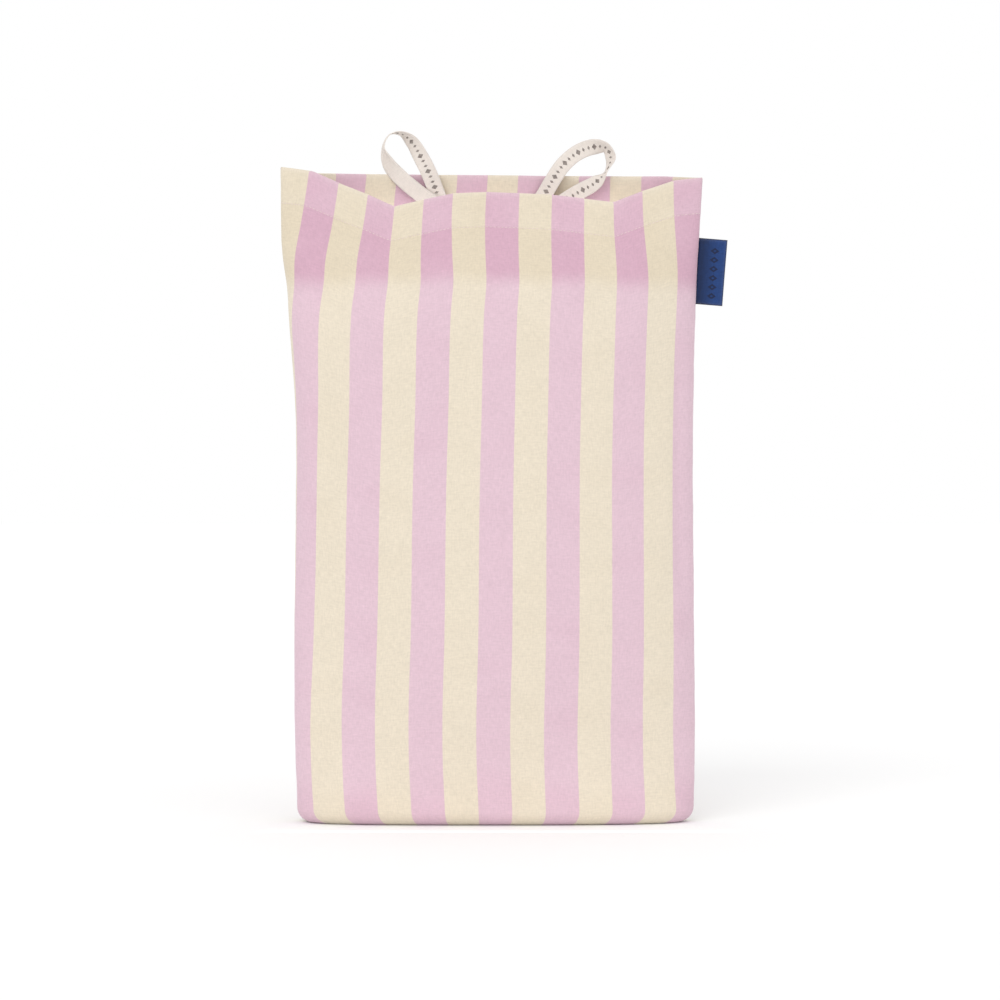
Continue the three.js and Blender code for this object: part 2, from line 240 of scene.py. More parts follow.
def weave_group():
    """Heights and tones of a plain weave, from flat cloth coordinates in metres."""
    inputs = [
        ("Cloth", "Vector", None), ("Warp pitch", "Float", 0.6 * MM), ("Weft pitch", "Float", 0.7 * MM),
    ]
    outputs = [("Height", "Float"), ("Tone", "Float"), ("Slub", "Float")]
    group, given, result = new_group("plain_weave", inputs, outputs)
    apart = add_node(group, "SeparateXYZ", [(0, given.outputs["Cloth"])])
    waves = []
    for distance, pitch in zip(apart.outputs, ("Warp pitch", "Weft pitch")):
        threads = calc(group, "DIVIDE", distance, given.outputs[pitch])
        waves.append(calc(group, "SINE", calc(group, "MULTIPLY", threads, math.pi)))
    warp, weft = waves
    on_top = calc(group, "MULTIPLY_ADD", calc(group, "MULTIPLY", warp, weft), 0.5, 0.5)
    under = calc(group, "SUBTRACT", 1.0, on_top)
    warp_height = calc(group, "MULTIPLY", calc(group, "ABSOLUTE", warp), on_top)
    weft_height = calc(group, "MULTIPLY", calc(group, "ABSOLUTE", weft), under)
    height = calc(group, "MAXIMUM", warp_height, weft_height)
    tones = []
    for stretch in STREAKS:
        place = [(0, given.outputs["Cloth"]), (1, stretch)]
        streaks = add_node(group, "VectorMath", place, operation="MULTIPLY").outputs[0]
        settings = [("Vector", streaks), ("Scale", 1.0), ("Detail", 2.0), ("Roughness", 0.6)]
        thread_noise = add_node(group, "TexNoise", settings).outputs[0]
        tones.append(calc(group, "SUBTRACT", thread_noise, 0.5))
    tone = calc(group, "ADD", *tones)
    slub = calc(group, "MULTIPLY_ADD", tones[1], 0.5, calc(group, "MULTIPLY", height, 0.5))
    for name, value in (("Height", height), ("Tone", tone), ("Slub", slub)):
        group.links.new(value, result.inputs[name])
    return group


WEAVE = weave_group()
print("weave group:", len(WEAVE.nodes), "nodes")

# %% [markdown]
# ## Handling
# Cotton that is folded, filled and washed goes a little pale and fuzzy where it is creased, which
# is along the folded mouth and the seams. Each piece says how worn each point is in an attribute
# called wear, and this group lightens the colour there and breaks it up with fine lint.

# %% The handling group
ROUGH = 0.9
CLOUD_SCALE = 38.0
LINT_SCALE = 900.0
LINT = (0.9, 0.85, 0.8, 1)


def handling_group():
    """Lightens and roughens cloth by the wear mask, with soft clouds and lint all over."""
    inputs = [
        ("Color", "Color", (1, 1, 1, 1)), ("Cloth", "Vector", None), ("Wear", "Float", 0.0),
        ("Roughness", "Float", ROUGH),
    ]
    outputs = [("Color", "Color"), ("Roughness", "Float")]
    group, given, result = new_group("handled_cloth", inputs, outputs)
    clouds, lint = (
        add_node(group, "TexNoise", [("Vector", given.outputs["Cloth"]), ("Scale", scale)]).outputs[0]
        for scale in (CLOUD_SCALE, LINT_SCALE)
    )
    cloudy = scaled(group, given.outputs["Color"], calc(group, "MULTIPLY_ADD", clouds, 0.06, 0.97))
    fuzz = calc(group, "MULTIPLY_ADD", lint, 1.4, -0.2)
    share = calc(group, "MULTIPLY", calc(group, "MULTIPLY", given.outputs["Wear"], fuzz), 0.35)
    pale = mix_colours(group, share, cloudy, LINT)
    rough = calc(group, "MULTIPLY_ADD", share, 0.15, given.outputs["Roughness"])
    group.links.new(pale, result.inputs["Color"])
    group.links.new(rough, result.inputs["Roughness"])
    return group


HANDLING = handling_group()
print("handling group:", len(HANDLING.nodes), "nodes")

# %% [markdown]
# ## Striped canvas
# The stripes are dyed yarn, not print, so they run right through the cloth and meet along a thread.
# The material divides the distance across the panel by the stripe width and asks if the answer is
# in an odd or an even stripe. A little of the weft's noise is added first, so the edge of a stripe
# wavers by a thread, as it does on a loom.

# %% Striped canvas
STRIPE = 30 * MM
STRIPES = 14
CREAM = (0.717, 0.641, 0.520, 1)
LILAC = (0.673, 0.493, 0.563, 1)
# painted shade: darker, deeper stripe colours that stand in for cloth with no white filling behind it to
# light it
SHADED_CREAM = (0.663, 0.579, 0.445, 1)  # where nothing white stands behind the cloth
SHADED_LILAC = (0.590, 0.370, 0.460, 1)


def cloth_shader(name, sheen=0.2):
    """A new material: its tree, its Principled shader, the cloth coordinates and the wear mask."""
    constants = {"Sheen Weight": sheen, "Sheen Roughness": 0.4, "Specular IOR Level": 0.25}
    material, tree, shader = new_material(name, constants)
    cloth = add_node(tree, "UVMap", uv_map="cloth").outputs[0]
    wear = add_node(tree, "Attribute", attribute_name="wear").outputs["Fac"]
    return material, tree, shader, cloth, wear


def toned(tree, colour, tone, strength):
    """The colour, lighter and darker by the tone of each thread."""
    return scaled(tree, colour, calc(tree, "MULTIPLY_ADD", tone, strength, 1.0))


def bumped(tree, shader, height, distance, strength):
    """Feeds a height to the shader's Normal through a Bump node."""
    bump = add_node(tree, "Bump", [("Height", height), ("Distance", distance), ("Strength", strength)])
    tree.links.new(bump.outputs[0], shader.inputs["Normal"])


def finish_cloth(tree, shader, colour, cloth, wear, roughness=ROUGH):
    """Puts the coloured cloth through the handling group and into its shader."""
    values = [("Color", colour), ("Cloth", cloth), ("Wear", wear), ("Roughness", roughness)]
    handled = use_group(tree, HANDLING, values)
    for output, socket in (("Color", "Base Color"), ("Roughness", "Roughness")):
        tree.links.new(handled.outputs[output], shader.inputs[socket])


def striped_canvas():
    """The cotton of both panels."""
    material, tree, shader, cloth, wear = cloth_shader("striped_canvas")
    weave = use_group(tree, WEAVE, [("Cloth", cloth)])
    across = add_node(tree, "SeparateXYZ", [(0, cloth)]).outputs[0]
    waver = calc(tree, "MULTIPLY_ADD", weave.outputs["Slub"], 0.35 * MM, across)
    inside = calc(tree, "MINIMUM", calc(tree, "MAXIMUM", waver, MM), STRIPES * STRIPE - MM)
    place = calc(tree, "MODULO", calc(tree, "DIVIDE", inside, STRIPE), 2.0)
    is_lilac = calc(tree, "GREATER_THAN", place, 1.0)
    # painted light and shade: each stripe is mixed from its pale lit colour and its darker painted-shade
    # colour, by a share on each vertex
    painted_light = add_node(tree, "Attribute", attribute_name="painted_light").outputs["Fac"]
    cream = mix_colours(tree, painted_light, SHADED_CREAM, CREAM)
    lilac = mix_colours(tree, painted_light, SHADED_LILAC, LILAC)
    stripes = mix_colours(tree, is_lilac, cream, lilac)
    yarns = toned(tree, stripes, weave.outputs["Tone"], 0.22)
    finish_cloth(tree, shader, yarns, cloth, wear)
    bumped(tree, shader, weave.outputs["Slub"], 0.25 * MM, 0.6)
    return material


CANVAS = striped_canvas()
print("canvas:", STRIPES, "stripes of", STRIPE, "m")

# %% [markdown]
# ## The bag's shape
# Cut level at any height, the bag is a rounded outline that is squarer towards the left than the
# right: a superellipse, which is an ellipse whose power can be changed. A few such outlines, from
# base to mouth, and a smooth curve between them give the whole body. The cloth is then laid along
# each outline by length, exactly as a sewn panel would lie, so the stripes crowd together where the
# cloth turns away.

# %% Outlines from base to mouth
CLOTH = 0.6 * MM  # thickness of the canvas
PANEL_WIDTH = STRIPES * STRIPE
BASE_RADIUS = 14 * MM
BASE_REACH = 166 * MM  # half the seam under the base
OUTLINE_STEPS = 240
FRONT_DEPTH = -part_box("front_panel")[0].y / MM
OUTLINES = {  # millimetres
    "z": [0, 60, 170, 280, 380, 466, 496, 521, 549, 608],
    "left": [-184, -185, -186, -185.5, -185, -190.5, -193.5, -197, -199, -200],
    "right": [183, 184.5, 184, 183, 183, 185, 186, 187, 189, 192.5],
    "front": [43, 49, 56, 57, 57, 56, 53, 43, 29, 14],
    "back": [44, 49, 53, 54, 53, 50, 47, 42, 35, 26],
    "creep": [26, 24, 24, 18, 8, 2, 1, 0, 0, 0],  # how far the left seam has crept to the back
    "square_left": [3.2, 3.3, 2.4, 2.7, 3.6, 3.5, 2.9, 3.1, 3.2, 2.1],  # 2 is an ellipse
    "square_right": [2.6, 1.95, 1.85, 1.8, 1.8, 1.87, 1.95, 2.15, 2.3, 2.1],
}


def length_along(points):
    """The length of a path up to each of its points."""
    return np.concatenate([[0], np.cumsum(np.linalg.norm(np.diff(points, axis=0), axis=1))])


def smooth(value, low, high):
    """0 below low, 1 above high, and an S-shaped rise between."""
    t = np.clip((value - low) / (high - low), 0, 1)
    return t * t * (3 - 2 * t)


def smooth_curve(places, values, at):
    """A smooth curve through the values: each slope is the mean of the slopes beside it."""
    places, values = np.array(places, float), np.array(values, float)
    secant = np.diff(values) / np.diff(places)
    slope = np.concatenate([secant[:1], (secant[1:] + secant[:-1]) / 2, secant[-1:]])
    i = np.clip(np.searchsorted(places, at, side="right") - 1, 0, len(places) - 2)
    gap = places[i + 1] - places[i]
    t = (at - places[i]) / gap
    rise = t * t * (3 - 2 * t)
    bends = (t * (1 - t) ** 2 * slope[i] - t * t * (1 - t) * slope[i + 1]) * gap
    return values[i] * (1 - rise) + values[i + 1] * rise + bends


def dimension(name, z):
    """One row of OUTLINES at the heights z, in metres or as a power."""
    unit = 1 if name.startswith("square") else MM
    return smooth_curve(OUTLINES["z"], OUTLINES[name], z / MM) * unit


def outline(z):
    """The closed outline at each height, from the left edge round the front and back again."""
    z = z[:, None]
    drop = np.maximum(0, BASE_RADIUS + CLOTH / 2 - z)
    inset = BASE_RADIUS - np.sqrt(np.maximum(0, BASE_RADIUS**2 - drop**2))
    left = dimension("left", z) + inset
    right = dimension("right", z) - inset
    angle = np.linspace(0, 2 * math.pi, OUTLINE_STEPS + 1)[None]
    turn, lean = np.cos(angle), np.sin(angle)
    power = 2 / np.where(turn > 0, dimension("square_left", z), dimension("square_right", z))
    front_half = np.arange(OUTLINE_STEPS + 1)[None] <= OUTLINE_STEPS // 2
    depth = np.where(front_half, dimension("front", z), dimension("back", z)) - inset
    x = (left + right) / 2 - (right - left) / 2 * np.sign(turn) * np.abs(turn) ** power
    y = -depth * np.sign(lean) * np.abs(lean) ** power
    steps = np.hypot(np.diff(x), np.diff(y))
    walked = np.concatenate([np.zeros((len(z), 1)), np.cumsum(steps, axis=1)], axis=1)
    return x, y, walked


def walk(shape, distance):
    """The points at these distances along the outlines."""
    x, y, walked = shape
    distance = distance % walked[:, -1]
    rows = np.arange(len(distance))
    i = np.clip((walked < distance[:, None]).sum(axis=1), 1, OUTLINE_STEPS)
    share = (distance - walked[rows, i - 1]) / (walked[rows, i] - walked[rows, i - 1])
    px = x[rows, i - 1] + share * (x[rows, i] - x[rows, i - 1])
    py = y[rows, i - 1] + share * (y[rows, i] - y[rows, i - 1])
    return px, py


print("bag depth at the widest:", round(FRONT_DEPTH, 1), "mm in front of the seams")

# %% [markdown]
# ## How the cloth hangs at the mouth
# The front edge dips where the cloth has been pushed back by a hand, and the hem leans back there.
# The dips also gather the stripes sideways. The back edge is nearly straight.

# %% The mouth
HEM = 35 * MM
HEM_GAP = 0.95 * MM  # half the distance between the hem's two layers
FRONT_EDGE = {  # share of the width: height in mm
    0: 608, 0.08: 603, 0.15: 591, 0.286: 570, 0.35: 576, 0.43: 582, 0.5: 583.5, 0.64: 581, 0.786: 574,
    0.86: 585, 0.93: 594.5, 1: 598,
}
BACK_EDGE = {0: 608, 0.08: 604, 0.5: 603.5, 0.9: 601, 1: 598}
GATHER = {0: 0, 0.21: 0.8, 0.3: -2.5, 0.43: -6, 0.57: -1.6, 0.71: 1.8, 0.86: -1.6, 1: 0}  # mm sideways
BACK_GATHER = {0: 0, 0.14: -6, 0.5: -3.7, 0.71: -2, 0.93: 2, 1: 0}
GATHERED = (490 * MM, 575 * MM)  # the stripes move sideways between these heights
LEAN = 0.3
LEAN_FROM = 430 * MM


def read_table(table, at):
    """A table of positions and millimetres, straight between its entries, in metres."""
    return np.interp(at, list(table), list(table.values())) * MM


def edge_height(side, u):
    return read_table(FRONT_EDGE if side == "front" else BACK_EDGE, u)


def hem_line(side, u):
    return edge_height(side, u) - HEM


def noise_at(a, b, seed):
    """Smooth noise from -1 to 1 at each pair of numbers."""
    points = zip(np.broadcast_to(a, np.shape(b)).ravel(), np.ravel(b))
    return np.array([noise.noise(Vector((p, q, seed))) for p, q in points])


print("front edge from", min(FRONT_EDGE.values()), "to", max(FRONT_EDGE.values()), "mm")

# %% [markdown]
# ## Creases
# Canvas that stands up buckles a little under its own weight. The biggest waves are broad and
# shallow. Below the mouth, folds hang down from the dips. Along the seams and the hem the thread
# pulls the cloth into small puckers. Each kind is smooth noise, stretched the way it lies.

# %% Creases
SEEDS = {"front": 3.7, "back": 11.2}
TRIM = 0.5 * MM  # the outer layer stops this far short of a seam
WAVES = ((2.2, 120, 170), (0.8, 42, 75), (0.18, 15, 22))  # mm: how deep, how wide and how tall


def creases(side, u, z):
    """How far each point of the cloth stands out of the smooth shape, in metres."""
    x = u * PANEL_WIDTH / MM
    h = z / MM
    seed = SEEDS[side]
    out = sum(a * noise_at(x / wide, h / tall, seed + i) for i, (a, wide, tall) in enumerate(WAVES))
    bend = 16 * noise_at(x / 60, h / 70, seed + 6)
    # sharp creases, here and there
    where = smooth(noise_at(x / 100, h / 120, seed + 7), -0.15, 0.45)
    out += 1.1 * where * (1 - np.abs(noise_at((x + bend) / 75, (h - bend) / 110, seed + 8))) ** 7
    # folds that hang from the mouth, and crumples in the neck
    hanging = smooth(h, 330, 520) * (1 - 0.6 * smooth(h, 570, 606))
    out += 2.5 * hanging * noise_at((x + bend / 2) / 32, h / 190, seed + 3)
    out += 0.8 * smooth(h, 470, 540) * noise_at((x + bend) / 21, (h + x / 3) / 34, seed + 9)
    # level buckles near the base
    out += (1 - smooth(h, 20, 150)) * noise_at(x / 40, (h + bend) / 28, seed + 4)
    if side == "front":  # one long fold at the right
        side_fold = np.exp(-(((x - 397 + (h - 300) * 0.02) / 7) ** 2)) * smooth(h, 190, 260)
        out -= 1.8 * side_fold * (1 - smooth(h, 390, 470))
    # puckers along the hem's stitches
    line = np.abs(h - hem_line(side, u) / MM - 2)
    out += 0.22 * np.exp(-((line / 7) ** 2)) * np.sin(x / 1.25 + 2 * noise_at(x / 22, h / 60, seed + 5))
    calm = smooth(u, 0, 0.04) * smooth(1 - u, 0, 0.04) * smooth(h, 2, 24)
    return out * calm * MM


def seam_wave(u, z):
    """How far a side seam wanders along X, the same for both panels."""
    h = z / MM
    right = np.round(u)
    wander = 0.5 * noise_at(right * 9, h / 42, 21.0) + 0.3 * noise_at(right * 9, h / 11, 22.0)
    near = np.exp(-np.minimum(u, 1 - u) * PANEL_WIDTH / (9 * MM))
    return wander * near * smooth(h, 10, 40) * MM


def on_bag(side, u, z, trim):
    """The cloth's middle at shares u of its width and heights z, before its creases."""
    shape = outline(z)
    half, whole = shape[2][:, OUTLINE_STEPS // 2], shape[2][:, -1]
    creep = dimension("creep", z)
    length = half + creep if side == "front" else whole - half - creep
    s = trim + (length - 2 * trim) * u
    x, y = walk(shape, s - creep if side == "front" else whole - creep - s)
    if side == "front":
        straight = edge_height("front", 0) * (1 - u) + edge_height("front", 1) * u
        top = hem_line("front", u) + HEM
        rising = np.clip((z - LEAN_FROM) / (top - LEAN_FROM), 0, 1)
        y = y + LEAN * (straight - top) * rising**2 * (3 - 2 * rising)
    gather = read_table(GATHER if side == "front" else BACK_GATHER, u)
    x = x + gather * smooth(z, *GATHERED)
    return np.stack([x, y, z], axis=1)


def level_inward(side, u, z, trim):
    """Level directions from the cloth into the bag."""
    before, after = np.maximum(0, u - 0.006), np.minimum(1, u + 0.006)
    along = on_bag(side, after, z, trim) - on_bag(side, before, z, trim)
    along[:, 2] = 0
    along /= np.linalg.norm(along, axis=1)[:, None]
    turn = 1 if side == "front" else -1
    return np.stack([-along[:, 1] * turn, along[:, 0] * turn, np.zeros(len(u))], axis=1)


def cloth(side, u, z, trim=TRIM, depth=0.0):
    """Points of the cloth, creases and all; depth is how far inside the outer layer they lie."""
    numbers = [np.atleast_1d(v).astype(float) for v in (u, z, trim, depth)]
    u, z, trim, depth = np.broadcast_arrays(*numbers)
    inward = level_inward(side, u, z, trim)
    points = on_bag(side, u, z, trim) + inward * (depth - creases(side, u, z))[:, None]
    points[:, 0] += seam_wave(u, z)
    return points


sample = cloth("front", np.array([0.5]), np.array([0.3]))[0]
print("middle of the front, 300 mm up:", [round(c, 4) for c in sample])

# %% [markdown]
# ## Sewing the panels
# Each panel is one flat piece of cloth: the base, the wall, the turned-in hem and the small edge
# that is turned under inside it. It is cut as a flat grid, and each row of the grid is then laid
# where it belongs. The cloth carries on 9.5 mm past both side seams and turns into the bag there,
# so that the two panels lie face to face in a real seam allowance. Solidify gives it its thickness.

# %% The seam allowance
SEAM_ALLOWANCE = 9.5 * MM
SEAM_HALF = 0.36 * MM  # from the seam's middle to each layer
ALLOWANCE_COLUMNS = np.array([9.5, 7, 4.5, 2.4, 1.1, 0.4]) * MM
HEM_END = 6 * MM  # the hem's inner layer stops this far short of a seam


def seam_frame(u, z):
    """A side seam's points, the directions into its allowance, and across it towards the back."""
    ends = np.full(len(z), float(u))
    none = np.zeros(len(z))
    seam = on_bag("front", ends, z, none)
    seam[:, 0] += seam_wave(ends, z)
    between = level_inward("front", ends, z, none) + level_inward("back", ends, z, none)
    between /= np.linalg.norm(between, axis=1)[:, None]
    sideways = np.stack([-between[:, 1], between[:, 0], none], axis=1)
    return seam, between, sideways * np.sign(sideways[:, 1])[:, None]


def allowance_share(u, z):
    """How much of the allowance stands in the bag: it is trimmed at the base and in the hem."""
    top = hem_line("front", np.full(len(z), float(u)))
    return 0.05 + 0.95 * smooth(z, 10 * MM, 24 * MM) * (1 - smooth(z, top - 12 * MM, top - 4 * MM))


def allowance(side, u, z, past):
    """Points of one panel's seam allowance, past the seam by this much."""
    seam, between, sideways = seam_frame(u, z)
    towards = -1 if side == "front" else 1
    reach = past * allowance_share(u, z)
    return seam + between * reach[:, None] + sideways * towards * SEAM_HALF


REACH = np.concatenate([
    -ALLOWANCE_COLUMNS,
    np.linspace(0, PANEL_WIDTH, STRIPES * 12 + 1),
    PANEL_WIDTH + ALLOWANCE_COLUMNS[::-1],
])
PAST = np.maximum(0, np.maximum(-REACH, REACH - PANEL_WIDTH))  # how far past the seam
print("grid columns:", len(REACH))


# %% Rows of a panel
BASE_ROWS = 14
WALL_ROWS = 151
HEM_ROWS = 10
HEM_TUCK = 8 * MM  # the raw edge is turned under this far


def base_seam(u):
    """The line of the seam under the base."""
    foot = np.array([CLOTH / 2])
    left = on_bag("front", np.zeros(1), foot, np.zeros(1))[0]
    right = on_bag("front", np.ones(1), foot, np.zeros(1))[0]
    x = -BASE_REACH + 2 * BASE_REACH * u
    return np.stack([x, left[1] + (right[1] - left[1]) * u, np.full(len(u), CLOTH / 2)], axis=1)


def drawn_in(u, end):
    """The shares u of a layer that stops this far short of both seams."""
    short = (end - TRIM) / PANEL_WIDTH
    return u * (1 - 2 * short) + short


def panel_row(side, u, z, depth=0.0):
    """One row of a panel's grid at the shares u and heights z, with its seam allowances."""
    points = cloth(side, u, z, TRIM - 0.3 * PAST, depth)
    if depth == 0:
        for end in (0, 1):
            here = (PAST > 0) & (u == end)
            points[here] = allowance(side, end, z[here], PAST[here])
    return points


def panel_rows(side):
    """Every row of a panel, from the base seam up the wall, over the mouth and down inside.

    A row is its points, its shares of the width and its heights.
    """
    u = np.clip(REACH / PANEL_WIDTH, 0, 1)
    foot = CLOTH / 2
    low = hem_line(side, u)
    ones = np.ones(len(u))
    outwards = -1 if side == "front" else 1
    seam = base_seam(u) + np.array([0, outwards * SEAM_HALF, 0])
    edge = cloth(side, u, foot * ones)
    rows = []

    def add_row(shares, z, depth=0.0):
        rows.append((panel_row(side, shares, z, depth), shares, z))

    for share in np.arange(BASE_ROWS) / BASE_ROWS:
        row = seam * (1 - share) + edge * share
        row[:, 2] += 0.05 * PAST
        rows.append((row, u, foot * ones))
    for angle in np.linspace(0, math.pi / 2, 9)[:-1]:
        add_row(u, (foot + BASE_RADIUS * (1 - math.cos(angle))) * ones)
    for share in np.linspace(0, 1, WALL_ROWS):
        add_row(u, (foot + BASE_RADIUS) * (1 - share) + low * share)
    for share in np.linspace(0.1, 1, HEM_ROWS):
        add_row(u, low + (HEM - HEM_GAP) * share)
    for angle in np.linspace(0, math.pi, 7)[1:]:
        inner = drawn_in(u, TRIM + (HEM_END - TRIM) * angle / math.pi)
        top = edge_height(side, inner)
        add_row(inner, top - HEM_GAP + HEM_GAP * math.sin(angle), HEM_GAP * (1 - math.cos(angle)))
    inner = drawn_in(u, HEM_END)
    top = edge_height(side, inner)
    bottom = top - HEM - 2 * MM
    for share in np.linspace(0.1, 1, HEM_ROWS):
        add_row(inner, (top - HEM_GAP) * (1 - share) + bottom * share, 2 * HEM_GAP)
    turn = HEM_GAP / 2
    for angle in np.linspace(0, math.pi, 5)[1:]:
        add_row(inner, bottom - turn * math.sin(angle), 1.5 * HEM_GAP + turn * math.cos(angle))
    for share in (0.5, 1):
        add_row(inner, bottom + HEM_TUCK * share, HEM_GAP)
    return rows


print("rows of the front panel:", len(panel_rows("front")))

# %% [markdown]
# ## From flat grid to bag
# create_grid makes the flat cloth. The grid's own coordinates say which row and column a vertex
# is in, so moving every vertex to its place bends the whole cloth at once. The flat position is
# kept as a UV map in metres, and the wear along the mouth and the seams as an attribute.

# %% Cut and bend
# Painted light and shade on the stripes: pale below this height, darker above it, in the hem's two layers
# and round the base.
PAINTED_SHADE_ABOVE = 497  # mm
HEM_PAINTED_LIGHT = 0.42  # a hem's second layer


def bend_grid(name, points, flat_x, flat_y, materials, thickness):
    """A cloth from a flat grid: points[row, column] is where each vertex goes."""
    rows, columns = points.shape[:2]
    bm = bmesh.new()
    bmesh.ops.create_grid(bm, x_segments=columns - 1, y_segments=rows - 1, size=1)
    uv = bm.loops.layers.uv.new("cloth")
    cells = {}
    for vert in bm.verts:
        column = round((vert.co.x + 1) / 2 * (columns - 1))
        row = round((vert.co.y + 1) / 2 * (rows - 1))
        cells[vert] = (row, column)
        vert.co = points[row, column]
    for face in bm.faces:
        for loop in face.loops:
            row, column = cells[loop.vert]
            loop[uv].uv = (flat_x[column], flat_y[row])
    order = np.array([cells[vert] for vert in bm.verts])
    made = object_from(name, bm, materials)
    solid = made.modifiers.new("thickness", "SOLIDIFY")
    solid.thickness = thickness
    solid.offset = 0
    return made, order


def set_attribute(piece, name, values):
    """One number for each vertex."""
    attribute = piece.data.attributes.get(name) or piece.data.attributes.new(name, "FLOAT", "POINT")
    attribute.data.foreach_set("value", np.asarray(values, np.float32))


def painted_light_share(u, z):
    """How much painted light the stripes get: paler up to the neck, as if white filling lit the cloth from
    behind, and painted shade above it and round the base.
    """
    h = z / MM
    ripple = 7 * noise_at(u * 5, h / 300, 31.0) + 2 * noise_at(u * 40, h / 60, 32.0)
    unshaded = 1 - smooth(h, PAINTED_SHADE_ABOVE - 11 + ripple, PAINTED_SHADE_ABOVE + 11 + ripple)
    return unshaded * (0.65 + 0.35 * smooth(h, 14, 48 + ripple))


def make_panel(side):
    """One panel, cut, bent and finished."""
    points, shares, heights = (np.array(part) for part in zip(*panel_rows(side)))
    flat_y = length_along(points[:, points.shape[1] // 2])
    flat_x = REACH if side == "front" else PANEL_WIDTH - REACH
    panel, order = bend_grid(f"{side}_cloth", points, flat_x, flat_y, [CANVAS], CLOTH)
    u, z = shares[tuple(order.T)], heights[tuple(order.T)]
    from_seam = np.minimum(u, 1 - u) * PANEL_WIDTH
    from_edge = np.abs(z - edge_height(side, u))
    wear = np.exp(-from_edge / (2.5 * MM)) + 0.6 * np.exp(-from_seam / (2 * MM))
    set_attribute(panel, "wear", np.clip(wear + 0.5 * np.exp(-z / (9 * MM)), 0, 1))
    # painted shade in the hem and above the neck, painted light below it, with a little random unevenness
    in_hem = z > hem_line(side, u) + MM
    uneven = 0.2 * noise_at(u * 9, z / (28 * MM), 33.0)
    set_attribute(panel, "painted_light", np.where(in_hem, HEM_PAINTED_LIGHT, painted_light_share(u, z)) + uneven)
    return panel, u, z, flat_y[-1]


front_cloth, front_u, front_z, front_length = make_panel("front")
back_cloth, _, _, back_length = make_panel("back")
for panel in (front_cloth, back_cloth):
    if panel.data.polygons[0].normal.z > 0:
        panel.data.flip_normals()
print("front cloth:", len(front_cloth.data.polygons), "faces,", round(front_length, 3), "m long")

# %% [markdown]
# ## The front follows the mouth
# The mouth opens when the front hem slides forward.

# %% Bodies of the panels
MOUTH_BEND = (400 * MM, 565 * MM)  # the front bends between these heights
MOUTH_SIDES = 0.24  # and over this share of its width at each side


def sew_on(piece, slot, *solids):
    """Fixes a piece to the bag, in place of these solids."""
    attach(piece, "bag")
    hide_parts(*solids)


def follow_mouth(piece, u, z, slot, *solids):
    """Bends a piece of the front between the bag and the sliding mouth."""
    start, end = ((0, 0, height) for height in MOUTH_BEND)
    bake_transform(piece, "bag", "front_mouth", start=start, end=end)
    weight = smooth(z, *MOUTH_BEND) * smooth(u, 0, MOUTH_SIDES) * smooth(1 - u, 0, MOUTH_SIDES)
    set_attribute(piece, "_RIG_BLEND", weight)
    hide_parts(*solids)


follow_mouth(front_cloth, front_u, front_z, "striped_cotton", "front_panel", "front_hem")
sew_on(back_cloth, "striped_cotton", "back_panel", "back_hem")

# %% [markdown]
# ## Thread
# Sewing thread is two or three plies twisted together, with a soft shine. The twist is a slanted
# wave along the stitch, and the colour is a pale pink white that nearly disappears on the cream.

# %% Thread material
THREAD_COLOUR = (0.74, 0.62, 0.60)


def thread_material():
    """Pale polyester-wrapped sewing thread."""
    constants = {"Specular IOR Level": 0.4, "Sheen Weight": 0.1}
    material, tree, shader = new_material("sewing_thread", constants)
    place = add_node(tree, "TexCoord").outputs["Object"]
    plies = add_node(
        tree, "TexWave", [("Vector", place), ("Scale", 900.0), ("Distortion", 0.6)],
        bands_direction="DIAGONAL",
    )
    fluff = add_node(tree, "TexNoise", [("Vector", place), ("Scale", 1500.0)]).outputs[0]
    colour = toned(tree, THREAD_COLOUR, calc(tree, "SUBTRACT", fluff, 0.5), 0.25)
    tree.links.new(colour, shader.inputs["Base Color"])
    rough = calc(tree, "MULTIPLY_ADD", fluff, 0.2, 0.6)
    tree.links.new(rough, shader.inputs["Roughness"])
    bumped(tree, shader, plies.outputs[1], 0.05 * MM, 0.5)
    return material


THREAD = thread_material()
print("thread material:", THREAD.name)

# %% [markdown]
# ## Stitches
# A lockstitch shows as a row of short raised dashes. Each dash is a tiny sphere stretched into a
# grain of rice and turned to lie along the row. Hundreds are needed, so each has only 24 faces.

# %% A row of stitches
STITCH = 3.2 * MM
STITCH_GAP = 0.4 * MM
THREAD_RADIUS = 0.27 * MM
HEM_STITCH_END = 0.004  # share of the width left bare at each seam
HEM_STITCH_RISE = 2 * MM  # from the hem's inner end


def add_stitch(bm, middle, turn, size):
    """One stitch of 24 faces, stretched to its size, turned and put in its place."""
    place = Matrix.Translation(middle) @ turn @ Matrix.Diagonal((*size, 1))
    bmesh.ops.create_uvsphere(bm, u_segments=6, v_segments=4, radius=1, matrix=place)


def stitch_row(name, path):
    """Stitches along a path of points; also says which share of the path each vertex is at."""
    lengths = length_along(path)
    count = int(lengths[-1] / (STITCH + STITCH_GAP))
    bm = bmesh.new()
    shares = []
    for i in range(count):
        middle = (i + 0.5) / count * lengths[-1]
        ends = [
            np.array([np.interp(middle + side * STITCH / 2, lengths, path[:, k]) for k in range(3)])
            for side in (-1, 1)
        ]
        turn = Vector(ends[1] - ends[0]).to_track_quat("X", "Z").to_matrix().to_4x4()
        add_stitch(bm, Vector((ends[0] + ends[1]) / 2), turn, (STITCH / 2, THREAD_RADIUS, THREAD_RADIUS))
        shares += [(i + 0.5) / count] * (len(bm.verts) - len(shares))
    return object_from(name, bm, [THREAD]), np.array(shares)


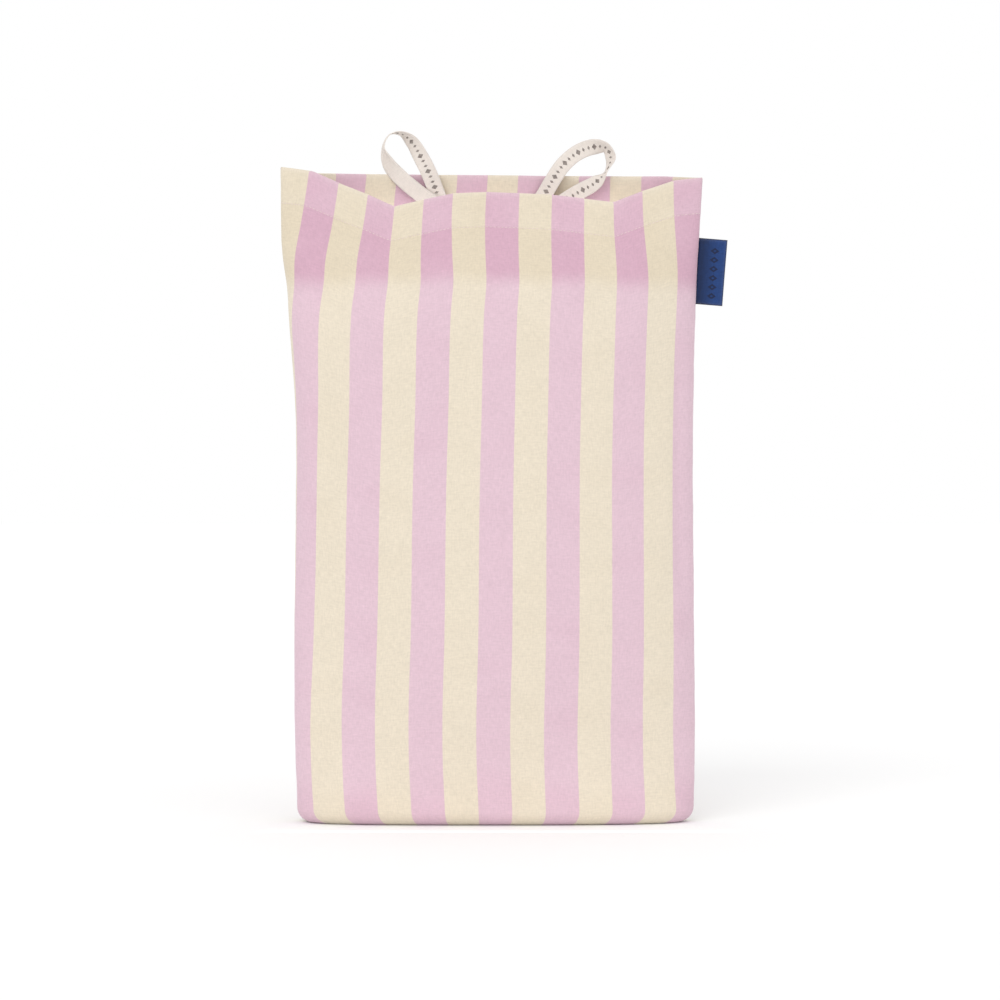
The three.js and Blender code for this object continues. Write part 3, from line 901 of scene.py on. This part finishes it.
def hem_stitches(side):
    """The line of stitches that holds a hem, on the outside of the bag."""
    u = np.linspace(HEM_STITCH_END, 1 - HEM_STITCH_END, 400)
    path = cloth(side, u, hem_line(side, u) + HEM_STITCH_RISE, depth=-(CLOTH / 2 + 0.08 * MM))
    row, shares = stitch_row(f"{side}_hem_stitches", path)
    at_u = HEM_STITCH_END + (1 - 2 * HEM_STITCH_END) * shares
    return row, at_u, hem_line(side, at_u) + HEM_STITCH_RISE


front_stitches, stitch_u, stitch_z = hem_stitches("front")
follow_mouth(front_stitches, stitch_u, stitch_z, "thread", "front_hem_stitching")
sew_on(hem_stitches("back")[0], "thread", "back_hem_stitching")
print("hem stitches, front:", len(front_stitches.data.polygons) // 24)

# %% [markdown]
# ## Side seams from the inside
# Inside the bag each side seam has a row of lockstitch close to the fold and an overlocked edge: a
# thread that zigzags over both raw edges so that they can't fray. A curve with a round bevel is
# the quickest way to make such a thread.

# %% Side seams
OVERLOCK_PITCH = 3.2 * MM
OVERLOCK_WIDTH = 3.8 * MM
OVERLOCK_PAST = 0.35 * MM  # how far the thread goes past the raw edge
SEAM_FROM = 26 * MM
SEAM_SHORT = 14 * MM  # the stitching ends this far below the hem


def thread_curve(name, points, radius=0.2 * MM):
    """A thread along a list of points, as a mesh."""
    data = bpy.data.curves.new(name, "CURVE")
    data.dimensions = "3D"
    data.bevel_depth = radius
    data.bevel_resolution = 1
    data.use_fill_caps = True
    spline = data.splines.new("POLY")
    spline.points.add(len(points) - 1)
    spline.points.foreach_set("co", np.c_[points, np.ones(len(points))].ravel())
    source = bpy.data.objects.new(name + "_curve", data)
    mesh = bpy.data.meshes.new_from_object(source)
    mesh.name = name
    mesh.materials.clear()
    mesh.materials.append(THREAD)
    mesh.shade_smooth()
    bpy.data.objects.remove(source)
    return link(bpy.data.objects.new(name, mesh))


def overlock_points(edge, inwards, sideways, lift):
    """A zigzag over an edge: out past it, in on one face, out again, in on the other face."""
    points = []
    for i in range(len(edge)):
        face = (0, 1, 0, -1)[i % 4]
        reach = -OVERLOCK_WIDTH if face else OVERLOCK_PAST
        points.append(edge[i] + inwards[i] * reach + sideways[i] * face * lift)
    return np.array(points)


def side_seam(name, u):
    """The stitches and the overlocking of one side seam."""
    high = hem_line("front", float(u)) - SEAM_SHORT
    z = np.linspace(SEAM_FROM, high, 500)
    seam, inwards, sideways = seam_frame(u, z)
    lift = SEAM_HALF + CLOTH / 2 + 0.15 * MM
    stitches, _ = stitch_row(f"{name}_side_seam_stitches", seam + inwards * 2 * MM - sideways * lift)
    z = np.linspace(SEAM_FROM, high, 2 * int((high - SEAM_FROM) / OVERLOCK_PITCH) + 1)
    seam, inwards, sideways = seam_frame(u, z)
    edge = seam + inwards * (SEAM_ALLOWANCE * allowance_share(u, z))[:, None]
    overlock = thread_curve(f"{name}_overlock_thread", overlock_points(edge, inwards, sideways, lift))
    sew_on(stitches, "thread", f"{name}_side_seam")
    sew_on(overlock, "thread", f"{name}_seam_overlock")
    return overlock


for seam_name, seam_u in (("left", 0), ("right", 1)):
    made = side_seam(seam_name, seam_u)
    print(made.name, len(made.data.polygons), "faces")

# %% [markdown]
# ## Under the base
# The seam under the base leaves a double layer of cloth that is pressed towards the back, and a
# short seam across each end of the base squares its corner. All three are a narrow strip folded in
# two, cut flat and bent like the panels.

# %% Base and corner seams
def folded_strip(name, start, end, sideways, width, solid):
    """A strip folded lengthwise, from start to end, its raw edges towards sideways."""
    start, end, sideways = (np.array(v, float) for v in (start, end, sideways))
    length = np.linalg.norm(end - start)
    columns = int(length / (4 * MM)) + 2
    half = [(width, 0.35), (width / 2, 0.38), (0.6 * MM, 0.38)]
    profile = [*half, (0, 0), *[(reach, -lift) for reach, lift in half[::-1]]]
    shares = np.linspace(0, 1, columns)
    points = []
    for row, (reach, lift) in enumerate(profile):
        waver = 0.25 * MM * noise_at(shares * length / (11 * MM), np.full(columns, row), 5.0)
        line = start + np.outer(shares, end - start) + np.outer(reach + waver, sideways)
        points.append(line + [0, 0, lift * MM])
    flat_y = np.linspace(0, 2 * width, len(profile))
    strip, _ = bend_grid(name, np.array(points), shares * length + STRIPE, flat_y, [CANVAS], CLOTH)
    set_attribute(strip, "wear", np.full(len(strip.data.vertices), 0.2))
    sew_on(strip, "striped_cotton", solid)


base_low, base_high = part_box("base_seam")
lie = (base_low.z + base_high.z) / 2
folded_strip(
    "base_seam_allowance", (base_low.x, base_low.y, lie), (base_high.x, base_low.y, lie),
    (0, 1, 0), base_high.y - base_low.y, "base_seam",
)
for seam_name, direction in (("left", 1), ("right", -1)):
    low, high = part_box(f"{seam_name}_corner_seam")
    outer = low.x if direction > 0 else high.x
    folded_strip(
        f"{seam_name}_corner_allowance", (outer, low.y, lie), (outer, high.y, lie),
        (direction, 0, 0), high.x - low.x, f"{seam_name}_corner_seam",
    )

count = 2 * int((base_high.x - base_low.x) / OVERLOCK_PITCH) + 1
edge = np.stack([
    np.linspace(base_low.x, base_high.x, count), np.full(count, base_high.y), np.full(count, lie)
], axis=1)
along_y, up = (np.tile(direction, (count, 1)) for direction in ([0.0, 1.0, 0.0], [0.0, 0.0, 1.0]))
base_overlock = thread_curve("base_overlock_thread", overlock_points(edge, along_y, up, 0.85 * MM))
sew_on(base_overlock, "thread", "base_seam_overlock")
print("base seam:", round(base_high.x - base_low.x, 3), "m")

# %% [markdown]
# ## Tape
# The loops are 15 mm cotton tape. Its ribs run across it, its edges are a little thicker, and one
# face carries a printed row of small marks. A plain repeating pattern of lozenges and dots is
# used here. Solidify can give its two faces different materials, so only one side is printed.

# %% Tape materials
TAPE_WIDTH = 15 * MM
TAPE_COLOUR = (0.73, 0.665, 0.61)
INK = (0.115, 0.09, 0.08, 1)
MARK_REPEAT = 16 * MM
MARKS = ((0.0, 3.2, 2.3), (5.4, 2.2, 1.2), (10.6, 2.2, 1.2))  # mm: place, half width, half length


def lozenge(tree, across, along, half_width, half_length):
    """0 in the middle of a lozenge, 1 at its edge and more outside."""
    wide = calc(tree, "DIVIDE", across, half_width)
    return calc(tree, "ADD", wide, calc(tree, "DIVIDE", along, half_length))


def tape_material(name, printed):
    """Ecru cotton tape, plain or with a printed row of marks."""
    material, tree, shader, cloth_place, wear = cloth_shader(name, sheen=0.15)
    threads = [("Cloth", cloth_place), ("Warp pitch", 0.5 * MM), ("Weft pitch", 0.8 * MM)]
    weave = use_group(tree, WEAVE, threads)
    colour = toned(tree, TAPE_COLOUR, weave.outputs["Tone"], 0.16)
    if printed:
        apart = add_node(tree, "SeparateXYZ", [(0, cloth_place)])
        across = calc(tree, "ABSOLUTE", calc(tree, "SUBTRACT", apart.outputs[0], TAPE_WIDTH / 2))
        marked = 0.0
        for place, half_width, half_length in MARKS:
            along = calc(tree, "ADD", apart.outputs[1], place * MM)
            along = calc(tree, "PINGPONG", along, MARK_REPEAT / 2)
            size = lozenge(tree, across, along, half_width * MM, half_length * MM)
            marked = calc(tree, "MAXIMUM", marked, calc(tree, "LESS_THAN", size, 1.0))
        even = calc(tree, "MULTIPLY_ADD", weave.outputs["Tone"], 0.5, 0.8)
        colour = mix_colours(tree, calc(tree, "MULTIPLY", marked, even), colour, INK)
    finish_cloth(tree, shader, colour, cloth_place, wear)
    bumped(tree, shader, weave.outputs["Height"], 0.2 * MM, 0.5)
    return material


TAPE_PRINTED = tape_material("printed_tape", True)
TAPE_PLAIN = tape_material("plain_tape", False)
print("tape:", TAPE_WIDTH, "m wide")

# %% [markdown]
# ## Bending the tapes
# A tape can't stretch sideways, but it bends and twists freely. Each loop's route is a short list
# of points, with the direction across the tape at each. A smooth curve runs
# through both lists, and the tape is one flat grid laid along it.

# %% Routes of the loops
LEFT_LOOP = [  # millimetres: a point of the tape's middle, then the direction across it
    (-40, 26.4, 549, 1, 0, 0),
    (-54, 22.6, 572, 0.75, 0, 0.66),
    (-72, 20.6, 586, 0.66, 0, 0.75),
    (-89, 18.8, 600, 0.7, -0.15, 0.7),
    (-100.5, 18, 613, 0.65, -0.6, 0.45),
    (-106, 18, 628, 0.2, -0.98, 0),
    (-100, 18, 640.5, 0.1, -0.98, -0.1),
    (-90, 18, 642, 0.1, -0.98, 0.1),
    (-79, 18.4, 634, 0.6, -0.7, 0.5),
    (-70.5, 18, 620, 0.85, -0.3, 0.4),
    (-62.5, 18.6, 604, 0.9, 0, 0.4),
    (-56, 23.4, 588, 0.93, 0, 0.36),
    (-50, 26.2, 572, 0.97, 0, 0.2),
    (-42, 29.4, 549, 1, 0, 0),
]
RIGHT_LOOP = [
    (20, 29.4, 549, -1, 0, 0),
    (33, 26.4, 568, -0.82, 0, 0.57),
    (44, 23.4, 583, -0.84, 0, 0.54),
    (53, 18.8, 598, -0.82, 0, 0.57),
    (63, 18, 612.5, -0.75, 0, 0.66),
    (76, 18, 623.5, -0.6, 0, 0.8),
    (91, 16.4, 629, -0.42, -0.35, 0.83),
    (103, 16, 628, 0.1, -0.85, 0.5),
    (107.5, 17.5, 618.5, 0.55, -0.8, 0.2),
    (103.5, 17, 606.5, 0.25, -0.95, 0.1),
    (93, 16.6, 595.5, 0.6, -0.4, -0.6),
    (76, 18.6, 586, 0.5, 0, -0.87),
    (54, 21.4, 572, 0.6, 0, -0.8),
    (24, 26.4, 549, 1, 0, -0.1),
]


def curve_through(points, steps):
    """A centripetal Catmull-Rom curve through the points, and its directions."""
    padded = np.vstack([2 * points[0] - points[1], points, 2 * points[-1] - points[-2]])
    places, directions = [], []
    for share in np.linspace(0, 1, steps + 1):
        at = share * (len(points) - 1)
        i = min(int(at), len(points) - 2)
        t = at - i
        a, b, c, d = padded[i:i + 4]
        gaps = [max(1e-4, np.linalg.norm(q - p) ** 0.5) for p, q in ((a, b), (b, c), (c, d))]
        start = ((b - a) / gaps[0] - (c - a) / (gaps[0] + gaps[1]) + (c - b) / gaps[1]) * gaps[1]
        finish = ((c - b) / gaps[1] - (d - b) / (gaps[1] + gaps[2]) + (d - c) / gaps[2]) * gaps[1]
        square, cube = -3 * b + 3 * c - 2 * start - finish, 2 * b - 2 * c + start + finish
        places.append(b + start * t + square * t**2 + cube * t**3)
        directions.append(start + 2 * square * t + 3 * cube * t**2)
    directions = np.array(directions)
    return np.array(places), directions / np.linalg.norm(directions, axis=1)[:, None]


print("route points:", len(LEFT_LOOP), len(RIGHT_LOOP))

# %% The two loops
LOOP_STEPS = 150
TAPE_THICK = 0.7 * MM
TAPE_CUP = 0.35  # millimetres that its edges stand out
LOOP_BEND = 9 * MM  # a loop folds over this much tape on each side of its hinge


def joint_place(name):
    """Where the frame has this joint."""
    return next(joint["pos_m"] for joint in frame["joints"] if joint["name"] == name)


def make_loop(name, route):
    """One tape loop with both of its tails."""
    route = np.array(route)
    centre, forward = curve_through(route[:, :3], LOOP_STEPS)
    across, _ = curve_through(route[:, 3:], LOOP_STEPS)
    across -= forward * (across * forward).sum(axis=1)[:, None]
    across /= np.linalg.norm(across, axis=1)[:, None]
    face = np.cross(forward, across)
    shares = np.linspace(-1, 1, 9)
    lengths = length_along(centre) * MM
    sides = [
        centre + across * share * TAPE_WIDTH / MM / 2 + face * TAPE_CUP * (share**2 - 0.4)
        for share in shares
    ]
    flat_x = (shares + 1) / 2 * TAPE_WIDTH
    points = np.stack(sides, axis=1) * MM
    faces = [TAPE_PLAIN, TAPE_PRINTED]
    loop, order = bend_grid(f"{name}_tape_loop", points, flat_x, lengths, faces, TAPE_THICK)
    loop.modifiers["thickness"].material_offset = 1
    selvedge = np.abs(shares[order[:, 1]]) ** 6
    set_attribute(loop, "wear", 0.2 + 0.7 * selvedge)
    height = joint_place(f"{name}_loop_fold")[2]
    start, end = (0, 0, height - LOOP_BEND), (0, 0, height + LOOP_BEND)
    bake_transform(loop, "bag", f"{name}_loop", start=start, end=end)
    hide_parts(f"{name}_loop", f"{name}_loop_first_tail", f"{name}_loop_second_tail")
    print(loop.name, round(lengths[-1], 3), "m of tape")


make_loop("left", LEFT_LOOP)
make_loop("right", RIGHT_LOOP)

# %% [markdown]
# ## Tacks
# Each loop's two tails are held by a bar tack, a dense little ladder of stitches side by side. The
# same small grains as in the hem are used, laid close together.

# %% Bar tacks
TACK_STITCHES = 16
TACK_SLANT = 0.12  # radians
TACK_RADIUS = 0.36 * MM


def bar_tack(name):
    """A ladder of short stitches where the CAD tack is."""
    low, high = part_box(f"{name}_loop_tack")
    middle = (low + high) / 2
    bm = bmesh.new()
    for i in range(TACK_STITCHES):
        x = low.x + (high.x - low.x) * (i + 0.5) / TACK_STITCHES
        slant = Matrix.Rotation(TACK_SLANT if i % 2 else -TACK_SLANT, 4, "Y")
        size = (TACK_RADIUS, THREAD_RADIUS, (high.z - low.z) / 2)
        add_stitch(bm, (x, middle.y, middle.z), slant, size)
    tack = object_from(f"{name}_bar_tack", bm, [THREAD])
    sew_on(tack, "thread", f"{name}_loop_tack")
    return tack


for tack_name in ("left", "right"):
    print(bar_tack(tack_name).name)

# %% [markdown]
# ## The side label
# The label is a strip of navy satin, folded in half around its outer edge, with both ends caught
# in the seam. Satin has long threads on top, so it shines along one direction, and its mark is
# woven tone on tone. A row of plain lozenges stands for a mark.

# %% Label material
LABEL_HEIGHT = 61.5 * MM
NAVY = (0.010, 0.042, 0.165)
NAVY_MARK = (0.005, 0.009, 0.035, 1)


def label_material():
    """Navy woven satin with a row of tonal lozenges, and painted shade towards the seam, at the fold and at
    both ends.
    """
    material, tree, shader, cloth_place, wear = cloth_shader("navy_satin", sheen=0.05)
    threads = [("Cloth", cloth_place), ("Warp pitch", 0.3 * MM), ("Weft pitch", 0.4 * MM)]
    weave = use_group(tree, WEAVE, threads)
    apart = add_node(tree, "SeparateXYZ", [(0, cloth_place)])
    from_fold = calc(tree, "ABSOLUTE", apart.outputs[0])
    from_end = calc(tree, "PINGPONG", apart.outputs[1], LABEL_HEIGHT / 2)
    colour = toned(tree, NAVY, weave.outputs["Tone"], 0.5)
    # painted shade: the satin is drawn darker towards the seam, in a thin rim at the fold and at both ends
    for distance, dark, clear, darkest in (  # towards the seam, at the fold and at both ends
        (from_fold, 22, 9, 0.45), (from_fold, 0.6, 1.5, 0.5), (from_end, 0.5, 1.3, 0.5),
    ):
        shade = add_node(tree, "MapRange", [
            ("Value", distance), ("From Min", dark * MM), ("From Max", clear * MM), ("To Min", darkest),
        ])
        colour = scaled(tree, colour, shade.outputs[0])
    across = calc(tree, "ABSOLUTE", calc(tree, "SUBTRACT", from_fold, 11 * MM))
    along = calc(tree, "PINGPONG", apart.outputs[1], 4.2 * MM)
    ring = calc(tree, "COMPARE", lozenge(tree, across, along, 4.4 * MM, 3.2 * MM), 0.65, 0.3)
    clear_low = calc(tree, "GREATER_THAN", apart.outputs[1], 6 * MM)
    clear_high = calc(tree, "LESS_THAN", apart.outputs[1], 56 * MM)
    mark = calc(tree, "MULTIPLY", ring, calc(tree, "MULTIPLY", clear_low, clear_high))
    colour = mix_colours(tree, calc(tree, "MULTIPLY", mark, 0.85), colour, NAVY_MARK)
    finish_cloth(tree, shader, colour, cloth_place, calc(tree, "MULTIPLY", wear, 0.25), 0.55)
    height = calc(tree, "MULTIPLY_ADD", mark, -0.8, weave.outputs["Height"])
    bumped(tree, shader, height, 0.12 * MM, 0.5)
    return material


LABEL_CLOTH = label_material()
print("label cloth:", LABEL_CLOTH.name)

# %% The folded label
LABEL_TILT = 0.08  # the seam leans out this much for each millimetre of height
LABEL_TUCK = 4.5 * MM  # how far the label reaches in to the seam from its hinge
LABEL_LAYER = 0.42 * MM  # half the distance between its two layers
LABEL_BEND = 2 * MM
SATIN = 0.35 * MM  # thickness


def make_label():
    """The folded label, from the seam out to its fold and back."""
    low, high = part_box("side_label")
    hinge = joint_place("side_label_flap")
    out, up = np.array([[1, 0, -LABEL_TILT], [LABEL_TILT, 0, 1]]) / math.hypot(1, LABEL_TILT)
    reach = (high.x - low.x - LABEL_TILT * (high.z - low.z)) - 1.2 * MM
    turn_at = reach - LABEL_LAYER
    turn = [
        (turn_at + LABEL_LAYER * math.sin(a), -LABEL_LAYER * math.cos(a))
        for a in np.linspace(0, math.pi, 7)
    ]
    flat = np.linspace(-LABEL_TUCK, turn_at, 12)[:-1]
    profile = [(d, -LABEL_LAYER) for d in flat] + turn + [(d, LABEL_LAYER) for d in flat[::-1]]
    ups = np.linspace(0, LABEL_HEIGHT, 26)
    d, y = np.array(profile).T
    share = np.maximum(0, d) / reach
    points = np.zeros((len(ups), len(profile), 3))
    for row, rise in enumerate(ups):
        belly = 1 + 0.9 * np.sin(math.pi * share) * (0.5 + 0.5 * math.sin(rise * 60))
        points[row] = hinge + np.outer(d, out) + up * rise
        points[row, :, 1] += y * belly + 0.9 * MM * share**2 * math.sin(rise * 45)
    length = length_along(points[0])[-1]
    flat_x = length_along(points[0]) - length / 2
    label, order = bend_grid("folded_side_label", points, flat_x, ups, [LABEL_CLOTH], SATIN)
    rise = ups[order[:, 0]]
    at_fold = np.exp(-np.abs(flat_x[order[:, 1]]) / (1.2 * MM))
    at_ends = np.exp(-np.minimum(rise, LABEL_HEIGHT - rise) / MM)
    set_attribute(label, "wear", np.clip(at_fold + at_ends, 0, 1))
    start, end = (hinge[0] - LABEL_BEND, 0, 0), (hinge[0] + LABEL_BEND, 0, 0)
    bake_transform(label, "bag", "side_label", start=start, end=end)
    set_attribute(label, "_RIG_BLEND", smooth(d[order[:, 1]], -2.5 * MM, 1.5 * MM))
    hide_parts("side_label")
    print(label.name, round(length, 4), "m before folding")


make_label()
